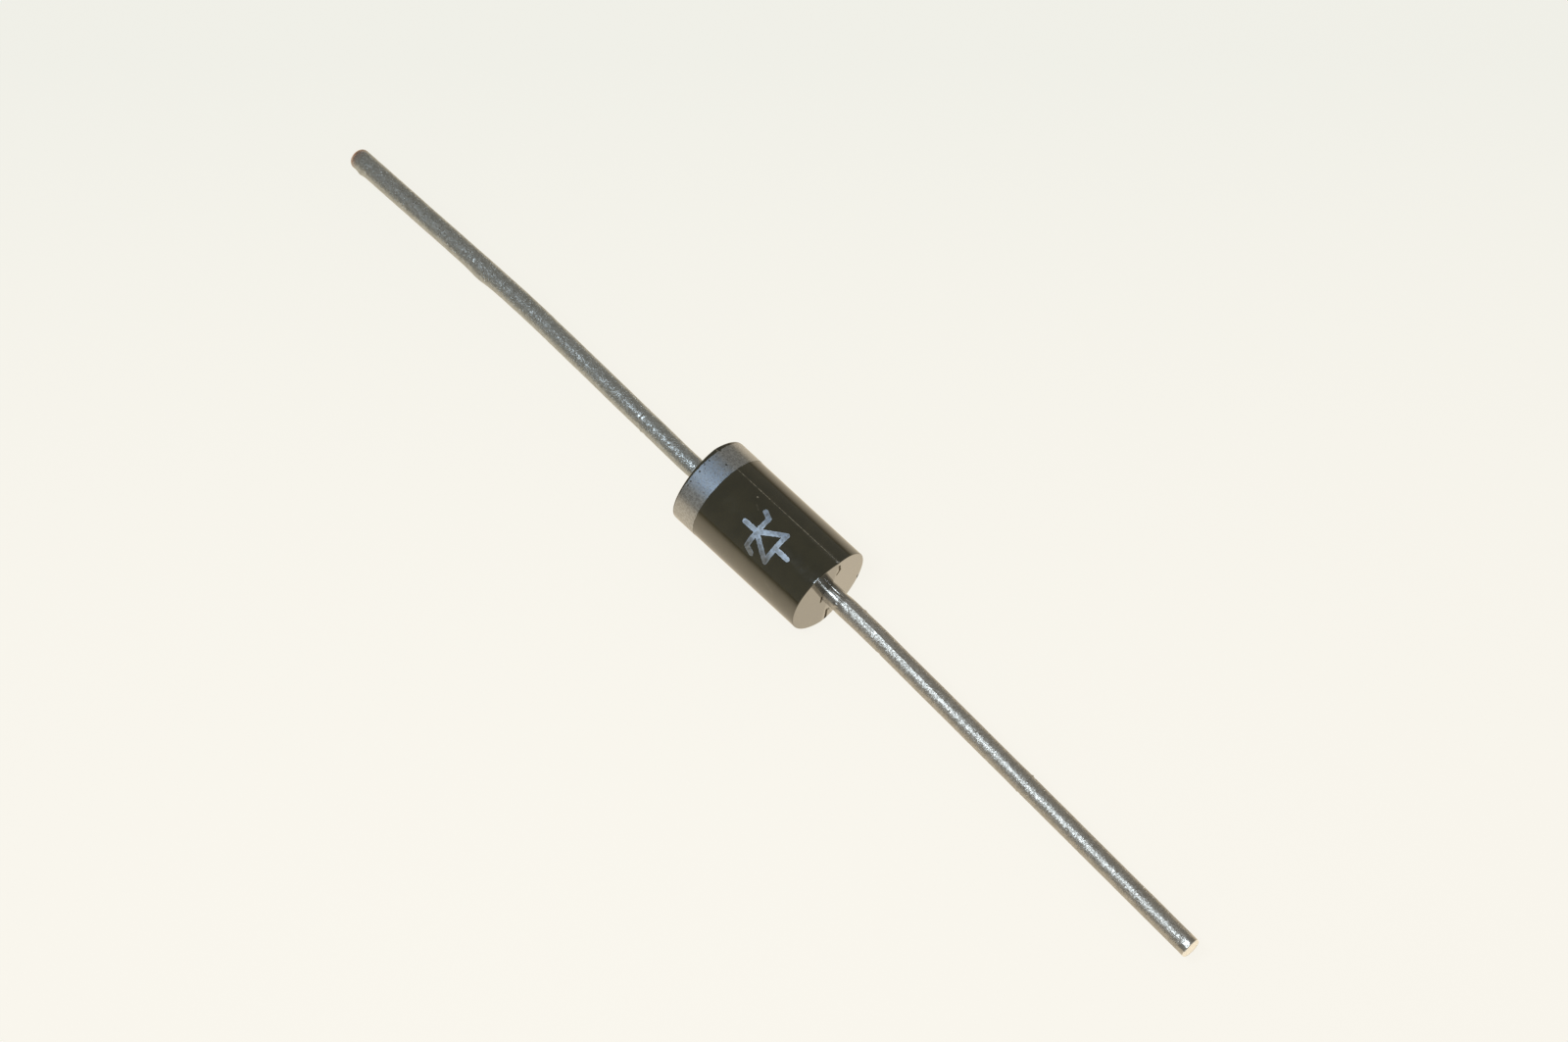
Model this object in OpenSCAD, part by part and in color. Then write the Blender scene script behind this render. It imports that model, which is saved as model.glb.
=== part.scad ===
// Zener diode in a moulded axial package: a black body with a printed polarity band,
// two tinned leads, and the soldered chip between their heads inside.
// It lies as it comes to rest, with the bent anode lead hanging lowest.
// Millimetres. X runs along the body towards the anode, Z is up, and the origin is the
// middle of the body.

/* [Body] */
// Diameter of the moulded body
body_d = 4.95; // [4.2:0.05:6]
// Length of the body between the crests of its two ends
body_l = 8.95; // [7.2:0.05:11]
// Slope of each half of an end face, falling away from the parting line, in degrees
end_draft = 3.5; // [1:0.5:6]
// Turn of the parting line about the axis, measured from straight up, in degrees
parting_turn = 15; // [0:1:60]
// Radius of the bead of flash along the parting line
flash_r = 0.06; // [0.04:0.01:0.1]
// Height of the bead of flash above the body
flash_h = 0.018; // [0.006:0.002:0.03]

/* [Polarity band] */
// Bare rim between the band and the lowest part of the cathode end's edge
band_rim = 0.05; // [0.02:0.01:1]
// Width of the band along the body
band_w = 1.42; // [0.6:0.02:2.2]
// Thickness of the printed ink
ink_t = 0.012; // [0.008:0.002:0.024]

/* [Leads] */
// Diameter of the copper wire, which shows as a short bare neck at the body
wire_d = 1.06; // [0.8:0.02:1.2]
// Thickness of the tin over the wire
tin_t = 0.02; // [0.01:0.005:0.05]
// Length of the bare neck outside the body
neck_l = 0.7; // [0.4:0.05:1]
// Length over which the tin thickens from the neck to its full size
tin_ramp_l = 0.15; // [0.1:0.05:0.3]
// Straight wire between the tin's edge and the bend beside the body
root_l = 0.4; // [0.2:0.1:2]
// Length of each lead outside the body, measured along the wire
lead_l = 26; // [22:0.5:32]
// Radius at the middle of the wire of the bend beside the body
root_bend_r = 40; // [20:1:60]
// Extra thickness of tin that has gathered in a bend
bend_tin_t = 0.01; // [0.005:0.005:0.03]

/* [Anode lead] */
// Angle of the anode lead's bend beside the body, in degrees
anode_bend_angle = 4; // [1:0.5:6]
// Side that the anode lead bends to, turned about X from Y, in degrees
anode_bend_side = 258.5; // [180:0.5:360]
// Slant of the sheared anode tip, which leaves the side that it bends to longer, in degrees
shear_slant = 3; // [1:0.5:12]

/* [Cathode lead] */
// Angle of the cathode lead's bend beside the body, in degrees
cathode_bend_angle = 1.25; // [0.5:0.25:4]
// Straight wire between the cathode lead's two bends
cathode_mid_l = 9; // [5:0.5:12]
// Angle of the second bend, which turns back the other way, in degrees
cathode_back_bend_angle = 2.5; // [0.5:0.25:3]
// Radius at the middle of the wire of the second bend
back_bend_r = 110; // [60:5:120]
// Radius of the rounded edge of the cathode tip
tip_round = 0.3; // [0.1:0.05:0.35]

/* [Chip stack] */
// Side of the square silicon chip
die_w = 1.9; // [1.6:0.05:2.2]
// Thickness of the chip
die_t = 0.26; // [0.2:0.02:0.4]
// Diameter of the solder on each face of the chip
solder_d = 1.8; // [1.4:0.05:2]
// Thickness of the solder
solder_t = 0.06; // [0.04:0.01:0.12]
// Diameter of the nail head on each lead
head_d = 2.9; // [2.6:0.05:3.3]
// Thickness of the head at its rim
head_t = 0.45; // [0.35:0.05:0.8]
// Diameter at which the taper behind the head begins
taper_d = 1.9; // [1.5:0.05:2.3]
// Length of the taper from the head down to the wire
taper_l = 0.5; // [0.3:0.05:1]
// Distance that the soft coating wraps on to each head
coat_wrap = 0.25; // [0.1:0.05:0.3]
// Height of the coating's bulge above the heads
coat_bulge = 0.22; // [0.1:0.02:0.4]

/* [Hidden] */
$fn = 96;

body_r = body_d / 2;
wire_r = wire_d / 2;
lead_r = wire_r + tin_t;
bend_r = lead_r + bend_tin_t;
// Length by which straight wire runs on inside the thicker tin of a bend
lap = wire_r / 4;
head_r = head_d / 2;
half_l = body_l / 2;
// Drop of an end face from its crest to the lowest part of its edge
end_drop = body_r * tan(end_draft);
// Both edges of the polarity band
band_from = -half_l + end_drop + band_rim;
band_to = band_from + band_w;
// Faces of each head, and the end of its taper, from the middle of the body
head_face = die_t / 2 + solder_t;
head_back = head_face + head_t;
taper_end = head_back + taper_l;
// Where the tin begins, where it is full, and where the first bend starts
tin_start = half_l + neck_l;
tin_full = tin_start + tin_ramp_l;
root_end = tin_full + root_l;
// Wire that a bend uses, and what is left for the last straight stretch of each lead
function arc_l(radius, angle) = radius * angle * PI / 180;
anode_end_l = lead_l - (root_end - half_l) - arc_l(root_bend_r, anode_bend_angle);
cathode_end_l = lead_l - (root_end - half_l) - arc_l(root_bend_r, cathode_bend_angle)
              - cathode_mid_l - arc_l(back_bend_r, cathode_back_bend_angle);
// Circle over both heads from one edge of the coating to the other
coat_half = head_face + coat_wrap;
coat_r = (pow(coat_half, 2) + pow(coat_bulge, 2)) / (2 * coat_bulge);

// Turns a shape drawn along Z so that it lies along X
module along_x() rotate([0, 90, 0]) children();

// Turns a profile drawn as [radius, place along the body] about X
module turned() along_x() rotate_extrude() children();

// Round bar along X between two places
module bar(radius, from, to)
    translate([from, 0, 0]) along_x() cylinder(r = radius, h = to - from);

// Cross-section of the body with a bead of flash at each side of the parting line
module body_section(grown = 0) {
    circle(body_r + grown);
    for (side = [0, 180])
        rotate(side - parting_turn)
            translate([body_r + flash_h - flash_r, 0])
                circle(flash_r + grown);
}

// Length of a cross-section between two places along the body
module section_run(from, to)
    translate([from, 0, 0])
        along_x()
            linear_extrude(height = to - from)
                children();

// Block that gives both ends of the body their two sloping halves
module end_slopes()
    rotate([-parting_turn, 0, 0])
        linear_extrude(height = 2 * body_d, center = true)
            polygon([for (end = [1, -1], side = [-1, 0, 1])
                [end * (half_l - abs(side) * body_d * tan(end_draft)), end * side * body_d]]);

// Soft coating as if it were solid through to the axis
module coating_round()
    turned() {
        intersection() {
            translate([head_r + coat_bulge - coat_r, 0])
                circle(coat_r);
            translate([head_r, -coat_half])
                square([coat_bulge, 2 * coat_half]);
        }
        translate([0, -head_face])
            square([head_r, 2 * head_face]);
    }

// Start of a lead: nail head, taper, bare neck and the edge of the tin
module lead_root()
    turned()
        polygon([
            [0, head_face], [head_r, head_face], [head_r, head_back],
            [taper_d / 2, head_back], [wire_r, taper_end], [wire_r, tin_start],
            [lead_r, tin_full], [lead_r, root_end + lap], [0, root_end + lap],
        ]);

// Bend in a lead that turns from X towards Y, with what follows it at its end
module bend(radius, angle) {
    translate([0, radius, 0])
        rotate([0, 0, -90])
            rotate_extrude(angle = angle)
                translate([radius, 0])
                    circle(bend_r);
    translate([radius * sin(angle), radius * (1 - cos(angle)), 0])
        rotate([0, 0, angle])
            children();
}

// Lets what follows bend to the other side
module other_side() rotate([180, 0, 0]) children();

// Straight stretch of a lead between two bends
module straight(length) bar(lead_r, -lap, length + lap);

// Last straight stretch of a lead, with a rounded tip
module rounded_tip(length)
    turned() {
        translate([0, -lap]) {
            square([lead_r, length + lap - tip_round]);
            square([lead_r - tip_round, length + lap]);
        }
        translate([lead_r - tip_round, length - tip_round])
            intersection() {
                circle(tip_round);
                square(tip_round);
            }
    }

// Last straight stretch of a lead, with a tip that was sheared at a slant
module sheared_tip(length)
    difference() {
        bar(lead_r, -lap, length + lead_r);
        translate([length, 0, 0])
            rotate([0, 0, -shear_slant])
                translate([0, -2 * lead_r, -2 * lead_r])
                    cube(4 * lead_r);
    }

// Points what is built towards the anode the other way
module towards_cathode() rotate([0, 0, 180]) children();

// One joint between the chip and a head
module solder_joint() bar(solder_d / 2, die_t / 2, head_face);

module body()
    color("#2b2923")
        difference() {
            intersection() {
                section_run(-body_l, body_l) body_section();
                end_slopes();
            }
            lead_root();
            towards_cathode() lead_root();
            coating_round();
        }

module cathode_band()
    color("#858b99")
        section_run(band_from, band_to)
            difference() {
                body_section(grown = ink_t);
                body_section();
            }

module cathode_lead()
    color("#9b9d9b")
        towards_cathode() other_side() {
            lead_root();
            translate([root_end, 0, 0])
                bend(root_bend_r, cathode_bend_angle) {
                    straight(cathode_mid_l);
                    translate([cathode_mid_l, 0, 0])
                        other_side()
                            bend(back_bend_r, cathode_back_bend_angle)
                                rounded_tip(cathode_end_l);
                }
        }

module anode_lead()
    color("#a9aba9")
        rotate([anode_bend_side, 0, 0]) {
            lead_root();
            translate([root_end, 0, 0])
                bend(root_bend_r, anode_bend_angle)
                    sheared_tip(anode_end_l);
        }

module zener_die()
    color("#5d6168")
        cube([die_t, die_w, die_w], center = true);

module cathode_solder()
    color("#b4b6b4")
        towards_cathode() solder_joint();

module anode_solder()
    color("#b4b6b4")
        solder_joint();

module junction_coating()
    color("#e6e2d8")
        difference() {
            coating_round();
            zener_die();
            solder_joint();
            towards_cathode() solder_joint();
        }

body();
cathode_band();
cathode_lead();
anode_lead();
zener_die();
cathode_solder();
anode_solder();
junction_coating();
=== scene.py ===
"""Looks of an axial zener diode: moulded body, printed band and sign, and two tinned leads.

Sizes and places are in millimetres in the part's own frame, with X along the body towards the
anode, Z up and the origin in the middle of the body. Meshes are scaled to metres as they are made.
A turn is an angle about the body in degrees, from straight up towards +Y.
"""

from __future__ import annotations

import logging
import math
from dataclasses import dataclass, field
from enum import Enum
from typing import Callable, Sequence

import bmesh
import bpy
import numpy as np
from mathutils import Matrix, Vector

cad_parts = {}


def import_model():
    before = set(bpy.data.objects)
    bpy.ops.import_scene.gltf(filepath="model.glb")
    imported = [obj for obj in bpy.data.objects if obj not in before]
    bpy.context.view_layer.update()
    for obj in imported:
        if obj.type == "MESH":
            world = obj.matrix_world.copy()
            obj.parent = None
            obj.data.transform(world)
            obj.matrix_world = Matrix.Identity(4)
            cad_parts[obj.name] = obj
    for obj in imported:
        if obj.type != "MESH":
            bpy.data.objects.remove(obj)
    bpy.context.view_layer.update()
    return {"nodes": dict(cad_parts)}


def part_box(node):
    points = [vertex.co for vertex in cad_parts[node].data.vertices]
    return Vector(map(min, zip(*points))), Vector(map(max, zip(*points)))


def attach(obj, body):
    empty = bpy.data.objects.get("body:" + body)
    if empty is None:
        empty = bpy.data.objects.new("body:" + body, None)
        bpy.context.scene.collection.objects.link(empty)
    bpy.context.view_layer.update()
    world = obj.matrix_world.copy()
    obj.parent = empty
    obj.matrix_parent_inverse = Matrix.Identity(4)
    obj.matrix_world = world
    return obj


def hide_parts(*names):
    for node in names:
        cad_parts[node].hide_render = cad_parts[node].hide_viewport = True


log = logging.getLogger("diode")

MM = 0.001
BODY = "root"
CREASE = 50.0
LINE_CORE = 0.35

Array = np.ndarray
Material = bpy.types.Material
Piece = bpy.types.Object
Socket = bpy.types.NodeSocket
Pair = tuple[float, float]
Colour = tuple[float, float, float]
Point = tuple[float, float, float]
Run = tuple[float, float, float]
Numbers = float | Array


def smooth(low: float, high: float, value: Array) -> Array:
    """Rises smoothly from 0 at low to 1 at high."""
    step = np.clip((value - low) / (high - low), 0.0, 1.0)
    return step * step * (3.0 - 2.0 * step)


def round_the_axis(along: Numbers, reach: Numbers, turn: Numbers) -> Array:
    """Places points by where they are along X, how far from it and at which turn, in degrees."""
    angle = np.radians(turn)
    return np.stack(np.broadcast_arrays(along, reach * np.sin(angle), reach * np.cos(angle)), axis=-1)


def off_line(spots: Array, first: Sequence[float], last: Sequence[float]) -> Array:
    """Measures how far spots in a plane lie from a straight line.

    Args:
        spots: Spots, one row each.
        first: One end of the line.
        last: Its other end.

    Returns:
        Distances.
    """
    run = np.subtract(last, first)
    share = np.clip((spots - first) @ run / max(run @ run, 1e-9), 0.0, 1.0)
    return np.linalg.norm(spots - first - share[..., None] * run, axis=-1)


def ring_faces(rows: int, columns: int, closed: bool = False) -> list[tuple[int, ...]]:
    """Joins rings of points with quads.

    Args:
        rows: Number of rings.
        columns: Points in each ring.
        closed: Whether the last ring joins the first.

    Returns:
        Faces as point numbers.
    """
    faces = []
    for row in range(rows if closed else rows - 1):
        near = row * columns
        far = (row + 1) % rows * columns
        for column in range(columns):
            following = (column + 1) % columns
            faces.append((near + column, near + following, far + following, far + column))
    return faces


def add_object(name: str, data: bpy.types.ID) -> Piece:
    """Adds an object to the scene.

    Args:
        name: Name of the object.
        data: Its mesh, lamp or camera.

    Returns:
        The object.
    """
    added = bpy.data.objects.new(name, data)
    bpy.context.scene.collection.objects.link(added)
    return added


def make_piece(name: str, points: Array, faces: Sequence[tuple[int, ...]]) -> Piece:
    """Makes a closed, smooth mesh object.

    Args:
        name: Name of the piece.
        points: Points in millimetres.
        faces: Faces as point numbers.

    Returns:
        The object, linked to the scene.
    """
    mesh = bpy.data.meshes.new(name)
    mesh.from_pydata((points * MM).tolist(), [], faces)
    work = bmesh.new()
    work.from_mesh(mesh)
    bmesh.ops.recalc_face_normals(work, faces=work.faces)
    work.to_mesh(mesh)
    work.free()
    mesh.shade_smooth()
    mesh.set_sharp_from_angle(angle=math.radians(CREASE))
    return add_object(name, mesh)


def hand_over(piece: Piece, slot: str, node: str | None = None) -> None:
    """Parents a piece to the body, hides the solid that it stands for and logs what it is made of.

    Args:
        piece: The finished piece.
        slot: Name of its finish, which is only logged.
        node: Solid that the piece stands for, if any.
    """
    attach(piece, BODY)
    if node is not None:
        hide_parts(node)
    log.info("%s: %d faces, %s", piece.name, len(piece.data.polygons), slot)


@dataclass(frozen=True)
class Unevenness:
    """Smooth bumps, up to a height, on a seeded lattice that closes round the axis."""

    seed: int
    pitch: float
    points_round: int
    height: float
    reach: float = 40.0

    def at(self, along: Array, turn: Array) -> Array:
        """Reads the bumps.

        Args:
            along: Places along the wire or the body.
            turn: Angles about it, in degrees.

        Returns:
            Heights, above or below 0.
        """
        rows = int(2 * self.reach / self.pitch) + 2
        lattice = np.random.default_rng(self.seed).uniform(-1.0, 1.0, (rows, self.points_round))
        row = (along + self.reach) / self.pitch
        column = np.mod(turn / 360.0, 1.0) * self.points_round
        low_row = np.clip(np.floor(row).astype(int), 0, rows - 2)
        low_column = np.floor(column).astype(int) % self.points_round
        next_column = (low_column + 1) % self.points_round
        up = smooth(0.0, 1.0, row - low_row)
        over = smooth(0.0, 1.0, column - np.floor(column))
        near = lattice[low_row, low_column] * (1 - over) + lattice[low_row, next_column] * over
        far = lattice[low_row + 1, low_column] * (1 - over) + lattice[low_row + 1, next_column] * over
        return self.height * (near * (1 - up) + far * up)


@dataclass(frozen=True)
class Patches:
    """Soft patches: their size, their finer layers, the noise over which they rise and what they give."""

    size: float
    detail: float
    rise: Pair
    result: Pair = (0.0, 1.0)


class NodeKit:
    """Adds shader nodes to one tree and links them."""

    def __init__(self, tree: bpy.types.NodeTree) -> None:
        """Starts with an empty tree."""
        self.tree = tree
        tree.nodes.clear()

    def node(
        self, kind: str, *values: object, named: dict[str, object] | None = None, **options: object
    ) -> bpy.types.Node:
        """Adds a node.

        Args:
            kind: Blender's name for the kind of node.
            values: What its inputs get, in order.
            named: What further inputs get, by name.
            options: Settings of the node.

        Returns:
            The node.
        """
        node = self.tree.nodes.new("ShaderNode" + kind)
        for name, option in options.items():
            setattr(node, name, option)
        for socket, value in zip(node.inputs, values):
            self.feed(socket, value)
        for name, value in (named or {}).items():
            self.feed(node.inputs[name], value)
        return node

    def feed(self, socket: Socket, value: object) -> None:
        """Links a socket, or sets it to a plain value.

        Args:
            socket: Input to feed.
            value: Another node's output, or a number, vector or colour.
        """
        if isinstance(value, Socket):
            self.tree.links.new(value, socket)
        elif socket.type == "RGBA" and len(value) == 3:
            socket.default_value = (*value, 1.0)
        else:
            socket.default_value = value

    def math(self, work: str, first: object, second: object) -> Socket:
        """Works out one number from two, by Blender's name for the operation."""
        return self.node("Math", first, second, operation=work).outputs["Value"]

    def vector(self, work: str, *values: object) -> Socket:
        """Works out one vector from others, by Blender's name for the operation."""
        return self.node("VectorMath", *values, operation=work).outputs["Vector"]

    def measure(self, work: str, first: object, second: object) -> Socket:
        """Works out one number from two vectors, by Blender's name for the operation."""
        return self.node("VectorMath", first, second, operation=work).outputs["Value"]

    def part(self, place: object, axis: str) -> Socket:
        """Takes one coordinate of a place."""
        return self.node("SeparateXYZ", place).outputs[axis]

    def blend(self, share: object, first: object, second: object) -> Socket:
        """Blends two colours.

        Args:
            share: Share of the second colour.
            first: Colour where the share is 0.
            second: Colour where the share is 1.

        Returns:
            The blended colour.
        """
        node = self.node("Mix", share, data_type="RGBA")
        for socket, colour in zip(node.inputs[6:8], (first, second)):
            self.feed(socket, colour)
        return node.outputs[2]

    def surface(self, kind: str, *values: object) -> Socket:
        """Adds a shader of a kind, with what its inputs get in order."""
        return self.node(kind, *values).outputs[0]


class Recipe(NodeKit):
    """Nodes of one finish, round a single Principled shader."""

    def __init__(self, name: str) -> None:
        """Starts a material.

        Args:
            name: Name of the finish.
        """
        self.material = bpy.data.materials.new(name)
        self.material.use_nodes = True
        super().__init__(self.material.node_tree)
        self.shader = self.node("BsdfPrincipled")
        self.output = self.node("OutputMaterial", self.shader.outputs["BSDF"])
        self.place = self.node("TexCoord").outputs["Object"]

    def set(self, **sockets: object) -> None:
        """Feeds the shader's own sockets, named with underscores for spaces."""
        for name, value in sockets.items():
            self.feed(self.shader.inputs[name.replace("_", " ")], value)

    def spread(self, value: object, old: Pair, new: Pair) -> Socket:
        """Maps one range smoothly on to another."""
        return self.node("MapRange", value, *old, *new, interpolation_type="SMOOTHSTEP").outputs["Result"]

    def noise(self, place: object, scale: float, detail: float) -> Socket:
        """Makes noise about 0.5, with a number of finer layers."""
        inputs = {"Vector": place, "Scale": scale, "Detail": detail}
        return self.node("TexNoise", named=inputs).outputs["Fac"]

    def mottle(self, size: float, detail: float = 2.0) -> Socket:
        """Makes soft patches of a size in millimetres, as a value about 0.5."""
        return self.noise(self.place, 1.0 / (size * MM), detail)

    def patches(self, patches: Patches, result: Pair | None = None) -> Socket:
        """Makes patches that give their own result or another one."""
        return self.spread(self.mottle(patches.size, patches.detail), patches.rise, result or patches.result)

    def streaks(self, width: float, length: float) -> Socket:
        """Makes fine streaks along X, of a width and length in millimetres, as a value about 0.5."""
        scales = tuple(1.0 / (size * MM) for size in (length, width, width))
        return self.noise(self.vector("MULTIPLY", self.place, scales), 1.0, 2.0)

    def facing(self, turn: float, narrow: float) -> Socket:
        """Picks out one side of the body.

        Args:
            turn: Middle of that side, in degrees.
            narrow: Cosine of the angle from there at which it has faded out.

        Returns:
            1 in the middle, 0 from that angle on.
        """
        aim = math.radians(turn)
        unit = self.vector("NORMALIZE", self.vector("MULTIPLY", self.place, (0.0, 1.0, 1.0)))
        share = self.measure("DOT_PRODUCT", unit, (0.0, math.sin(aim), math.cos(aim)))
        return self.spread(share, (narrow, 1.0), (0.0, 1.0))

    def facets(self, size: float) -> Socket:
        """Makes the height of crystal grains that each slope their own way.

        Args:
            size: Size of a grain in millimetres.

        Returns:
            A height in grain sizes.
        """
        scale = 1.0 / (size * MM)
        grain = self.node("TexVoronoi", named={"Vector": self.place, "Scale": scale})
        scaled = self.vector("MULTIPLY", self.place, (scale,) * 3)
        middle = self.vector("MULTIPLY", grain.outputs["Position"], (scale,) * 3)
        slope = self.vector("SUBTRACT", grain.outputs["Color"], (0.5, 0.5, 0.5))
        return self.measure("DOT_PRODUCT", self.vector("SUBTRACT", scaled, middle), slope)

    def near_line(self, start: Point, end: Point, half_width: float) -> Socket:
        """Picks out what lies near a straight line.

        Args:
            start: One end in millimetres.
            end: Other end in millimetres.
            half_width: Distance at which the line has faded out.

        Returns:
            1 on the line, 0 away from it.
        """
        first = Vector(start) * MM
        run = Vector(end) * MM - first
        apart = self.vector("SUBTRACT", self.place, tuple(first))
        share = self.measure("DOT_PRODUCT", apart, tuple(run / max(run.length_squared, 1e-12)))
        held = self.node("Clamp", share).outputs["Result"]
        along = self.node("VectorMath", tuple(run), named={"Scale": held}, operation="SCALE")
        off = self.measure("DISTANCE", apart, along.outputs["Vector"])
        return self.spread(off, (LINE_CORE * half_width * MM, half_width * MM), (1.0, 0.0))

    def along_x(self, start: float, end: float, fade: float) -> Socket:
        """Picks out a stretch along X.

        Args:
            start: Lower end in millimetres.
            end: Upper end in millimetres.
            fade: Distance over which it fades out beyond each end.

        Returns:
            1 in the stretch, 0 away from it.
        """
        place = self.part(self.place, "X")
        rise = self.spread(place, ((start - fade) * MM, start * MM), (0.0, 1.0))
        fall = self.spread(place, (end * MM, (end + fade) * MM), (1.0, 0.0))
        return self.math("MULTIPLY", rise, fall)

    def carried(self, name: str, output: str) -> Socket:
        """Reads a number (Fac) or a vector (Vector) that the mesh carries at its points."""
        return self.node("Attribute", attribute_name=name).outputs[output]

    def bump(self, height: object, depth: float, below: object | None = None) -> Socket:
        """Roughens the surface.

        Args:
            height: Height between 0 and 1.
            depth: Height of 1 in millimetres.
            below: Normal of a bump under this one, if any.

        Returns:
            The new normal.
        """
        inputs = {"Distance": depth * MM, "Height": height}
        if below is not None:
            inputs["Normal"] = below
        return self.node("Bump", named=inputs).outputs["Normal"]


@dataclass(frozen=True)
class Epoxy:
    """Glossy black-brown moulding compound, paler where scuffs break its skin; along the flash lines the pale
    is partly broken skin and partly a painted highlight of the flash bead.

    Pitting and waves give the size and the depth of the bumps.
    """

    name: str = "epoxy"
    dark: Colour = (0.0125, 0.0116, 0.0030)
    brown: Colour = (0.0168, 0.0154, 0.0050)
    # Pale of scuffs and scratches; along the flash lines it also stands in for the bead's glint, a painted
    # highlight.
    broken: Colour = (0.26, 0.25, 0.22)
    sheen_index: float = 2.3
    polish: float = 0.0
    polish_haze: float = 0.1
    haze: Pair = (0.075, 0.12)
    broken_haze: float = 0.3
    clouds: Patches = Patches(0.9, 4.0, (0.35, 0.65))
    wear: Patches = Patches(0.12, 3.0, (0.38, 0.6), (0.25, 1.0))
    breath: Patches = Patches(0.35, 3.0, (0.3, 0.7))
    pitting: Pair = (0.05, 0.0004)
    waves: Pair = (0.7, 0.003)

    def material(self, scuffs: Sequence[Scuff]) -> Material:
        """Makes the finish.

        Args:
            scuffs: Pale lines and specks on the skin.

        Returns:
            The material.
        """
        recipe = Recipe(self.name)
        skin = recipe.blend(recipe.patches(self.clouds), self.dark, self.brown)
        patchy = recipe.patches(self.wear)
        haze = recipe.patches(self.breath, self.haze)
        worn_and_glint: object = 0.0
        for scuff in scuffs:
            line = recipe.near_line(scuff.start, scuff.end, scuff.half_width)
            paler = recipe.math("MULTIPLY", line, scuff.strength)
            worn_and_glint = recipe.math("MAXIMUM", worn_and_glint, recipe.math("MULTIPLY", paler, patchy))
        if scuffs:
            skin = recipe.blend(worn_and_glint, skin, self.broken)
            haze = recipe.math("ADD", haze, recipe.math("MULTIPLY", worn_and_glint, self.broken_haze))
        recipe.set(Base_Color=skin, Roughness=haze, IOR=self.sheen_index)
        recipe.set(Coat_Weight=self.polish, Coat_IOR=self.sheen_index, Coat_Roughness=self.polish_haze)
        pit_size, pit_depth = self.pitting
        wave_size, wave_depth = self.waves
        fine = recipe.bump(recipe.mottle(pit_size), pit_depth)
        recipe.set(Normal=recipe.bump(recipe.mottle(wave_size), wave_depth, fine))
        return recipe.material


@dataclass(frozen=True)
class PrintedInk:
    """Silvery printing ink with a slightly bluish tint, fine grey flecks and pores, a paler bluish rim, and a
    painted bluish highlight on the side that faces the overhead lamp.

    Grit gives the size, the finer layers and the depth of the bumps.
    """

    light: Colour = (0.305, 0.322, 0.333)
    dull: Colour = (0.185, 0.195, 0.20)
    flecks: Patches = Patches(0.12, 5.0, (0.4, 0.6))
    # Painted highlight: a bluish tint blended in round one turn of the print, where the overhead lamp's
    # reflection falls; it stands in for that reflection, not for the ink's own colour.
    painted_highlight: Colour = (0.30, 0.405, 0.56)
    painted_highlight_turn: float = -14.0
    painted_highlight_narrow: float = 0.86
    painted_highlight_specks: Patches = Patches(0.07, 3.0, (0.42, 0.6), (0.45, 1.0))
    pore: Colour = (0.03, 0.03, 0.03)
    pores: Patches = Patches(0.055, 2.0, (0.3, 0.42), (0.8, 0.0))
    edge: Colour = (0.36, 0.43, 0.53)
    edge_share: float = 0.0
    thin: float = 0.0
    thinning: Patches = Patches(0.2, 4.0, (0.4, 0.62))
    metal: float = 0.8
    haze: Patches = Patches(0.07, 3.0, (0.3, 0.7), (0.56, 0.68))
    binder_index: float = 1.5
    sheen_index: float = 3.3
    sheen_haze: float = 0.2
    grit: tuple[float, float, float] = (0.06, 3.0, 0.004)

    def material(self, name: str) -> Material:
        """Makes the finish.

        Args:
            name: Name of the print that it is for.

        Returns:
            The material.
        """
        recipe = Recipe(name)
        tint = recipe.blend(recipe.patches(self.flecks), self.dull, self.light)
        # Painted highlight: the tint turns bluish, in specks, on the side that faces the overhead lamp.
        highlight_side = recipe.facing(self.painted_highlight_turn, self.painted_highlight_narrow)
        painted_highlight_share = recipe.math("MULTIPLY", highlight_side, recipe.patches(self.painted_highlight_specks))
        tint = recipe.blend(painted_highlight_share, tint, self.painted_highlight)
        tint = recipe.blend(recipe.patches(self.thinning, (0.0, self.thin)), tint, self.pore)
        rim = recipe.math("MULTIPLY", recipe.carried("rim", "Fac"), self.edge_share)
        tint = recipe.blend(rim, tint, self.edge)
        tint = recipe.blend(recipe.patches(self.pores), tint, self.pore)
        recipe.set(Base_Color=tint, Metallic=self.metal, IOR=self.binder_index)
        recipe.set(Coat_Weight=1.0, Coat_IOR=self.sheen_index, Coat_Roughness=self.sheen_haze)
        size, detail, depth = self.grit
        recipe.set(Roughness=recipe.patches(self.haze))
        recipe.set(Normal=recipe.bump(recipe.mottle(size, detail), depth))
        return recipe.material


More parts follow.
